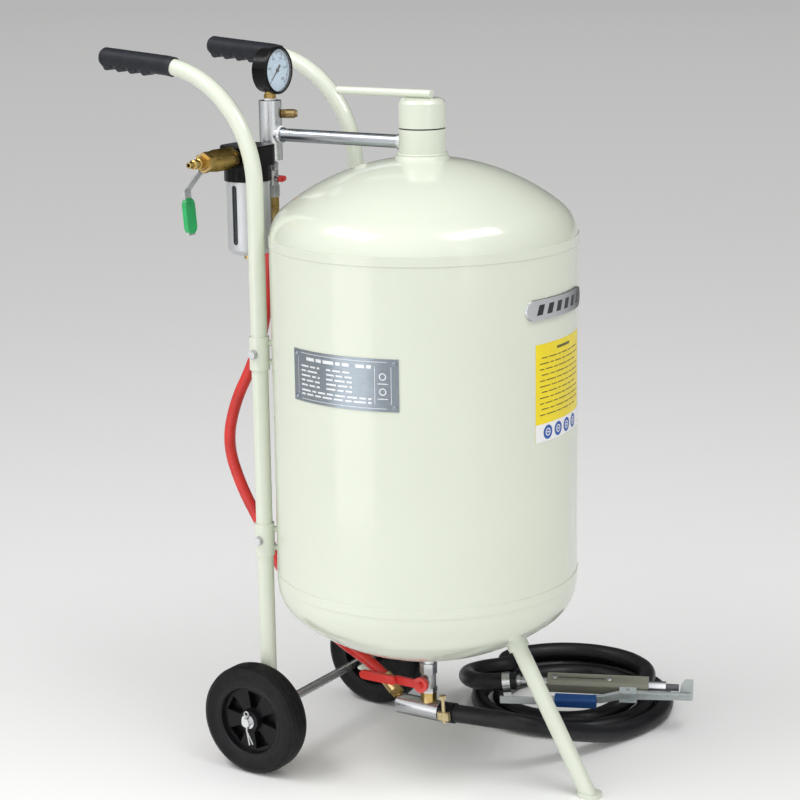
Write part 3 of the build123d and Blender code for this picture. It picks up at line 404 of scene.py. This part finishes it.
def hose_material(name, colour, specular, roughness, ribs):
    """Extruded rubber: faint lengthwise lines, and a cloth mark from the wrapped cure."""
    material = surface(name, colour, roughness, mottle=0.16, mottle_scale=30, shine_spread=0.09,
                       shine_scale=45, bump=0.3, bump_scale=650, bump_depth=RUBBER_RELIEF,
                       specular=specular)
    tree = material.node_tree
    relief = next(n for n in tree.nodes if n.type == "BUMP")
    place = tree.nodes.new("ShaderNodeTexCoord")
    wave = tree.nodes.new("ShaderNodeTexWave")
    wave.wave_type = "BANDS"
    wave.bands_direction = "X"
    wave.inputs["Scale"].default_value = ribs
    wave.inputs["Distortion"].default_value = 1.5
    tree.links.new(place.outputs["UV"], wave.inputs["Vector"])
    second = tree.nodes.new("ShaderNodeBump")
    second.inputs["Strength"].default_value = 0.12
    second.inputs["Distance"].default_value = RUBBER_RELIEF
    tree.links.new(wave.outputs["Fac"], second.inputs["Height"])
    tree.links.new(relief.outputs["Normal"], second.inputs["Normal"])
    tree.links.new(second.outputs["Normal"], tree.nodes["Principled BSDF"].inputs["Normal"])
    return material


# ---------------------------------------------------------------- printed and small pieces
SHELL_R = 0.2
INK_PLATE_R = 0.20108           # radius of each print, just proud of what it lies on
INK_LABEL_R = 0.20042
INK_LAYER = 0.00004
BADGE_R = 0.20358
FACET = 0.006                   # longest flat that still follows the shell


def on_shell(radius, s, z):
    """Point at arc length s from -Y towards +X round the shell."""
    a = s / SHELL_R
    return POT + Vector((radius * sin(a), -radius * cos(a), z))


def wrapped(bm, radius, outline):
    """Flat patch laid round the shell; outline gives (s, z) in metres, counter-clockwise."""
    vertices = [bm.verts.new(on_shell(radius, s, z)) for s, z in outline]
    bm.faces.new(vertices)


def strips(bm, radius, s0, s1, z0, z1):
    """A bar cut into short flat facets so that it follows the shell."""
    count = max(1, round((s1 - s0) / FACET))
    for i in range(count):
        a = s0 + (s1 - s0) * i / count
        b = s0 + (s1 - s0) * (i + 1) / count
        wrapped(bm, radius, [(a, z0), (b, z0), (b, z1), (a, z1)])


def word_bars(bm, radius, s, reach, z, height, words, first, gap, shortest):
    """A row of bars as long as words, from s to reach, that starts at one of the lengths."""
    step = first
    while s < reach - shortest:
        length = min(words[step % len(words)], reach - s)
        strips(bm, radius, s, s + length, z, z + height)
        s += length + gap
        step += 1


def stitch(bm, row, next_row):
    """A closed band of quads between two rings of vertices."""
    for i in range(len(row)):
        j = (i + 1) % len(row)
        bm.faces.new((row[i], row[j], next_row[j], next_row[i]))


def disc(bm, radius, s, z, r, inner=0.0, count=24):
    """Disc or ring wrapped on the shell, in rings narrow enough to follow it."""
    around = [(cos(tau * i / count), sin(tau * i / count)) for i in range(count)]
    reaches = [r, inner] if inner else [r, r * 0.66, r * 0.33]
    rows = [[bm.verts.new(on_shell(radius, s + reach * c, z + reach * d)) for c, d in around]
            for reach in reaches]
    for outer, inside in zip(rows, rows[1:]):
        stitch(bm, outer, inside)
    if not inner:
        bm.faces.new(rows[-1])


def finish_mesh(name, bm, material, smooth=False):
    """The built mesh as a piece on the stand, with its material."""
    data = bpy.data.meshes.new(name)
    bm.normal_update()
    bm.to_mesh(data)
    bm.free()
    for polygon in data.polygons:
        polygon.use_smooth = smooth
    data.materials.append(material)
    add_object(name, data)


def make_plate_print(ink):
    """Border, heading, table rows and two boxes, all as plain bars."""
    bm = bmesh.new()
    s_low, s_high, z_low, z_high = -0.3905, -0.2385, 0.5385, 0.5975
    margin, inset, rule = 0.012, 0.006, 0.0006
    for z in (z_low, z_high - rule):
        strips(bm, INK_PLATE_R, s_low + margin, s_high - margin, z, z + rule)
    column = -0.2660
    for s in (s_low + inset, s_high - inset - rule, column):
        strips(bm, INK_PLATE_R, s, s + rule, z_low + inset, z_high - inset)

    def line(s, z, reach, height, first):
        words = [0.014, 0.009, 0.017, 0.007, 0.012, 0.010, 0.015]
        word_bars(bm, INK_PLATE_R, s, reach, z, height, words, first, gap=0.0028, shortest=0.002)

    heading_z, heading_height, row_height = 0.5885, 0.0042, 0.0022
    line(-0.368, heading_z, -0.300, heading_height, 0)
    line(-0.291, heading_z, -0.270, heading_height, 4)
    for row in range(5):
        z = 0.5800 - row * 0.0060
        line(-0.378, z, -0.345, row_height, row)
        line(-0.334, z, -0.296, row_height, row + 3)
    for row in range(2):
        line(-0.378, 0.5492 - row * 0.0050, -0.270, row_height, row + 2)
    for z in (0.5790, 0.5600):
        disc(bm, INK_PLATE_R, -0.2555, z, 0.0046, 0.0034, 18)
        strips(bm, INK_PLATE_R, -0.2620, -0.2490, z - 0.0095, z - 0.0085)
    finish_mesh("plate_print", bm, ink)


def make_label_print(ink, white, blue):
    """Generic caution film: white foot with four blue discs, dark header bar and text bars."""
    s_low, s_high = -0.0500, 0.0680
    bm = bmesh.new()
    strips(bm, INK_LABEL_R, s_low - 0.00165, s_high + 0.00145, 0.47952, 0.5030)
    finish_mesh("label_foot", bm, white)
    bm = bmesh.new()
    text_r = INK_LABEL_R + INK_LAYER
    strips(bm, text_r, -0.008, 0.028, 0.5950, 0.5985)
    margin, row_height = 0.006, 0.0013
    words = [0.012, 0.018, 0.008, 0.015, 0.010, 0.021]
    for row in range(11):
        z = 0.5870 - row * 0.0073
        start = s_low + margin + 0.003 * (row % 3 == 0)
        reach = s_high - margin - 0.012 * (row % 4 == 2)
        word_bars(bm, text_r, start, reach, z, row_height, words, row, gap=0.0026, shortest=0.003)
    finish_mesh("label_text", bm, ink)
    centres, centre_z = [-0.028 + 0.0235 * k for k in range(4)], 0.4912
    bm = bmesh.new()
    for s in centres:
        disc(bm, INK_LABEL_R + 0.00006, s, centre_z, 0.0092)
    finish_mesh("label_discs", bm, blue)
    bm = bmesh.new()
    sign_r = INK_LABEL_R + 0.0001
    for s in centres:
        disc(bm, sign_r, s, centre_z, 0.0050, 0.0036, 20)
        strips(bm, sign_r, s - 0.0025, s + 0.0025, centre_z - 0.0008, centre_z + 0.0008)
    finish_mesh("label_signs", bm, white)


def make_badge_face(ink):
    """Row of dark slanted marks, in place of a name; each is four narrow columns."""
    bm = bmesh.new()
    low, high, slant = 0.6435, 0.6565, 0.0045
    pitch, column_width = 0.0190, 0.0026
    for k in range(6):
        for column in range(4):
            a = -0.0530 + k * pitch + column * column_width
            b = a + column_width
            wrapped(bm, BADGE_R, [(a, low), (b, low), (b + slant, high), (a + slant, high)])
    finish_mesh("badge_inlay", bm, ink)


DIAL_AT = POT + Vector((0, 0.22510, 0.927))
DIAL_START = 225            # degrees, counter-clockwise from the right
DIAL_SWEEP = 270
TICKS = 50                  # spaces between the ticks; every fifth tick is a long one
TICK_END = 0.0245
NUMERALS_R = 0.0168
NUMERAL_SIZE = 0.0052
ARC_PARTS = 60
ARCS = ((0.0250, 0.0254), (0.0120, 0.0122))     # inner and outer radius of each ring


def make_dial_print(ink):
    """Scale ring, ticks and numerals of the gauge."""
    bm = bmesh.new()

    def quad(points):
        bm.faces.new([bm.verts.new(DIAL_AT + Vector((x, 0, z))) for x, z in points])

    for k in range(TICKS + 1):
        angle = radians(DIAL_START - DIAL_SWEEP * k / TICKS)
        inner, half = (0.0205, 0.00045) if k % 5 == 0 else (0.0225, 0.00020)
        c, s = cos(angle), sin(angle)
        corners = ((inner, half), (TICK_END, half), (TICK_END, -half), (inner, -half))
        quad([(reach * c + side * s, reach * s - side * c) for reach, side in corners])
    for k in range(ARC_PARTS):
        a, b = (radians(DIAL_START - DIAL_SWEEP * j / ARC_PARTS) for j in (k, k + 1))
        for low, high in ARCS:
            quad([(r * cos(t), r * sin(t)) for r, t in ((low, a), (low, b), (high, b), (high, a))])
    finish_mesh("dial_scale", bm, ink)
    bm = bmesh.new()
    for k in range(6):
        angle = radians(DIAL_START - DIAL_SWEEP * k / 5)
        font = bpy.data.curves.new("numeral", "FONT")
        font.body = str(40 * k)
        font.size = NUMERAL_SIZE
        font.align_x = "CENTER"
        font.align_y = "CENTER"
        holder = bpy.data.objects.new("numeral", font)
        mesh = bpy.data.meshes.new_from_object(holder)
        at = DIAL_AT + NUMERALS_R * Vector((cos(angle), 0, sin(angle)))
        mesh.transform(Matrix.Translation(at) @ Matrix.Rotation(pi / 2, 4, "X"))
        bm.from_mesh(mesh)
        bpy.data.objects.remove(holder)
        bpy.data.meshes.remove(mesh)
    finish_mesh("dial_numerals", bm, ink)


RIPPLE = 0.22           # of a weld bead's thickness
BEAD_SIDES = 6


def ring_bead(bm, centre, normal, radius, thick, ripples):
    """Weld bead: a rippled ring of small section."""
    normal = normal.normalized()
    first = normal.orthogonal().normalized()
    second = normal.cross(first)
    steps = ripples * 4
    rows = []
    for i in range(steps):
        a = tau * i / steps
        out = first * cos(a) + second * sin(a)
        swell = thick * (1 + RIPPLE * sin(a * ripples))
        row = []
        for j in range(BEAD_SIDES):
            b = tau * j / BEAD_SIDES
            across = out * (radius + swell * cos(b))
            row.append(bm.verts.new(centre + across + normal * swell * sin(b)))
        rows.append(row)
    for i in range(steps):
        row, next_row = rows[i], rows[(i + 1) % steps]
        for j in range(BEAD_SIDES):
            k = (j + 1) % BEAD_SIDES
            bm.faces.new((row[j], next_row[j], next_row[k], row[k]))


def make_welds(ivory, white):
    """Beads of the pot's two seams and of the neck; then two on the feed pipe and a tape ring."""
    bm = bmesh.new()
    up = Vector((0, 0, 1))
    for z, radius, thick, ripples in ((0.2800, 0.2002, 0.0006, 230), (0.7150, 0.2002, 0.0006, 230),
                                      (0.8285, 0.0310, 0.0018, 36)):
        ring_bead(bm, POT + Vector((0, 0, z)), up, radius, thick, ripples)
    finish_mesh("seam_welds", bm, ivory, smooth=True)
    bm = bmesh.new()
    for y, z, facing, radius, thick, ripples in (
            (0.2205, 0.8420, Vector((0, 1, 0)), 0.0100, 0.0021, 14),
            (0.0310, 0.8420, Vector((0, 1, 0)), 0.0096, 0.0014, 14),
            (0.2380, 0.8885, up, 0.0068, 0.0018, 3)):
        ring_bead(bm, POT + Vector((0, y, z)), facing, radius, thick, ripples)
    finish_mesh("pipe_welds", bm, white, smooth=True)


SCREW_SIDES = 32
RECESS_R = 0.30         # of the head's radius, before the ring is drawn out into a cross
SCREW_PROFILE = ((1.0, 0.0), (1.0, 0.45), (0.86, 0.80), (0.55, 1.0), (RECESS_R, 1.0),
                 (RECESS_R, 0.45))      # radius and height of each ring, as shares of the head's


def screw_head(bm, at, out, radius, height, slot_turn):
    """Domed pan head with a cross recess."""
    out = out.normalized()
    first = out.orthogonal().normalized()
    first.rotate(Matrix.Rotation(slot_turn, 3, out))
    second = out.cross(first)
    rows = []
    for r, h in SCREW_PROFILE:
        row = []
        for i in range(SCREW_SIDES):
            a = tau * i / SCREW_SIDES
            wide = r
            if r == RECESS_R:
                wide = 0.62 if i % 8 in (0, 1, 7) else 0.16
            across = (first * cos(a) + second * sin(a)) * radius * wide
            row.append(bm.verts.new(at + across + out * height * h))
        rows.append(row)
    for low, high in zip(rows, rows[1:]):
        stitch(bm, low, high)
    bm.faces.new(rows[-1])


def make_gun_screws(zinc):
    """The two screws that join the gun's halves, on its upper face."""
    bm = bmesh.new()
    body_face = -0.0109
    for x, turn in ((0.054, 0.3), (0.131, 1.1)):
        screw_head(bm, on_gun(x, 0, body_face), -GUN_UNDER, 0.0036, 0.0014, turn)
    finish_mesh("gun_screws", bm, zinc)


# ---------------------------------------------------------------- studio
TO_CAMERA = Vector((sin(radians(CAMERA_AZIMUTH)), -cos(radians(CAMERA_AZIMUTH)), 0))
TO_RIGHT = Vector((cos(radians(CAMERA_AZIMUTH)), sin(radians(CAMERA_AZIMUTH)), 0))


def softbox(name, near, right, height, size, power):
    """Area light placed about the pot, near and right as the camera sees it, facing the pot."""
    data = bpy.data.lights.new(name, "AREA")
    data.shape = "RECTANGLE"
    data.size, data.size_y = size
    data.energy = power
    light = bpy.data.objects.new(name, data)
    light.location = POT + TO_CAMERA * near + TO_RIGHT * right + Vector((0, 0, height))
    facing = POT + Vector((0, 0, 0.5)) - light.location
    light.rotation_euler = facing.to_track_quat("-Z", "Y").to_euler()
    light.visible_camera = False
    bpy.context.scene.collection.objects.link(light)


def make_world():
    """White surroundings that brighten towards the camera's side and upwards."""
    world = bpy.data.worlds.new("studio")
    world.use_nodes = True
    tree = world.node_tree
    background = tree.nodes["Background"]
    background.inputs["Color"].default_value = (1.0, 1.0, 0.995, 1)
    bright_side = TO_CAMERA * 0.87 - TO_RIGHT * 0.35 + Vector((0, 0, 0.34))
    towards = position_along(tree, "Generated", bright_side)
    strength = spread(tree, towards, 0.14, 1.34, -0.25, 1.0)
    tree.links.new(strength, background.inputs["Strength"])
    bpy.context.scene.world = world


FLOOR_RINGS = (0.6, 1.2, 2.0, 3.5, 6.0, 12.0, 30.0)
FLOOR_SIDES = 64
FLOOR_Z = -0.0004           # just under the tyres, the foot and the hose


def floor_material():
    """White that falls off to pale grey far from the object: painted shade standing in for light
    that falls off with distance.
    """
    material = bpy.data.materials.new("studio_floor")
    material.use_nodes = True
    tree = material.node_tree
    shader = tree.nodes["Principled BSDF"]
    shader.inputs["Roughness"].default_value = 0.6
    place = tree.nodes.new("ShaderNodeTexCoord")
    length = tree.nodes.new("ShaderNodeVectorMath")
    length.operation = "LENGTH"
    tree.links.new(place.outputs["Object"], length.inputs[0])
    # painted shade: the floor's colour greys with distance, in place of light falling off
    painted_shade_far = spread(tree, length.outputs["Value"], 0, 1, 2.5, 20.0)
    tint = mix_colour(tree, painted_shade_far, (0.96, 0.96, 0.96), (0.80, 0.80, 0.80))
    tree.links.new(tint, shader.inputs["Base Color"])
    return material


def make_floor():
    """Round floor in rings."""
    bm = bmesh.new()
    around = [(cos(tau * i / FLOOR_SIDES), sin(tau * i / FLOOR_SIDES)) for i in range(FLOOR_SIDES)]
    rows = [[bm.verts.new((r * c, r * s, FLOOR_Z)) for c, s in around] for r in FLOOR_RINGS]
    bm.faces.new(rows[0])
    for inner, outer in zip(rows, rows[1:]):
        stitch(bm, outer, inner)
    data = bpy.data.meshes.new("floor")
    bm.to_mesh(data)
    bm.free()
    data.materials.append(floor_material())
    floor = bpy.data.objects.new("floor", data)
    bpy.context.scene.collection.objects.link(floor)


def make_studio():
    """Surroundings, four soft lights and the floor."""
    make_world()
    bpy.context.scene.view_settings.view_transform = "Standard"
    softbox("top_left", 0.48, -1.43, 2.38, (1.4, 0.62), 18)
    softbox("top_right", 0.80, 0.93, 2.36, (1.3, 0.60), 15.5)
    softbox("low_left", 0.92, -1.18, 0.28, (0.80, 0.7), 1.9)
    softbox("strip_right", 2.3, 1.3, 1.2, (0.4, 2.1), 2.4)
    make_floor()


make_camera()
air_line = make_air_hose()
blast_line = make_blast_hose()
ivory_paint, zinc_plate = make_materials()
red_rubber = hose_material("red_hose_rubber", (0.60, 0.026, 0.020), 0.5, 0.32, 40)
black_rubber = hose_material("black_hose_rubber", (0.007, 0.007, 0.009), 0.35, 0.38, 90)
air_line.data.materials.append(red_rubber)
blast_line.data.materials.append(black_rubber)
ink = surface("black_ink", (0.015, 0.015, 0.016), 0.42, mottle=0.2, mottle_scale=200, bump=0.1)
white_ink = surface("white_ink", (0.80, 0.80, 0.80), 0.40, mottle=0.03, mottle_scale=60, bump=0.1)
blue_ink = surface("blue_ink", (0.012, 0.08, 0.36), 0.40, mottle=0.08, mottle_scale=120, bump=0.1)
silver_ink = surface("bare_etching", (0.78, 0.80, 0.82), 0.38, 0.4, mottle=0.08,
                     mottle_scale=200, bump=0.1)
label_ink = surface("olive_ink", (0.10, 0.085, 0.012), 0.42, mottle=0.2, mottle_scale=200,
                    bump=0.1)
make_plate_print(silver_ink)
make_label_print(label_ink, white_ink, blue_ink)
make_badge_face(ink)
make_dial_print(ink)
make_welds(ivory_paint, white_ink)
make_gun_screws(zinc_plate)
make_studio()
